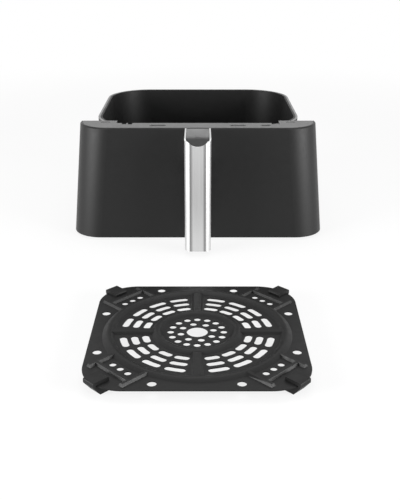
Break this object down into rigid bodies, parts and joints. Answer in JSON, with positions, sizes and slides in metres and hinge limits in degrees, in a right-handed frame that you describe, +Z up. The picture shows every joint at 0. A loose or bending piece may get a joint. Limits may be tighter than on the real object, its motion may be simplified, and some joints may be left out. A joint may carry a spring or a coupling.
{
  "type": "air fryer basket",
  "caption": "Pull-out air fryer basket with coated pan, moulded front and brushed steel handle, and its loose pressed crisper plate with silicone corner bumpers.",
  "frame": {"origin": "middle of the pan's base on the table", "axes": "+Z up, the handle points to -Y, +X to the right seen from the front"},
  "size_m": [0.32, 0.6225, 0.142],
  "materials": {
    "coated_pan": "satin non-stick coat",
    "front_plastic": "fine matt grain",
    "trim_plastic": "matt",
    "cover_plastic": "matt",
    "plain_steel": "zinc plated",
    "brushed_cover": "brushed lengthwise",
    "grip_plastic": "matt",
    "scoop_plastic": "matt",
    "coated_plate": "satin non-stick coat",
    "silicone": "soft matt"
  },
  "bodies": {
    "basket": {"basket_pan": "coated_pan", "front_shell": "front_plastic", "top_trim": "trim_plastic", "rear_cover": "cover_plastic", "pan_bracket": "plain_steel", "weld_nuts": "plain_steel", "handle_cover": "brushed_cover", "handle_core": "grip_plastic", "thumb_rest": "scoop_plastic", "handle_screws": "plain_steel", "bracket_screws": "plain_steel", "shell_screws": "plain_steel"},
    "crisper": {"crisper_plate": "coated_plate", "bumper_front_left": "silicone", "bumper_front_right": "silicone", "bumper_rear_left": "silicone", "bumper_rear_right": "silicone"}
  },
  "joints": [
    {"name": "crisper_plate_lift", "type": "slide", "parent": "basket", "child": "crisper", "axis": [0, 0, 1], "range_m": [0, 0.16]}
  ]
}
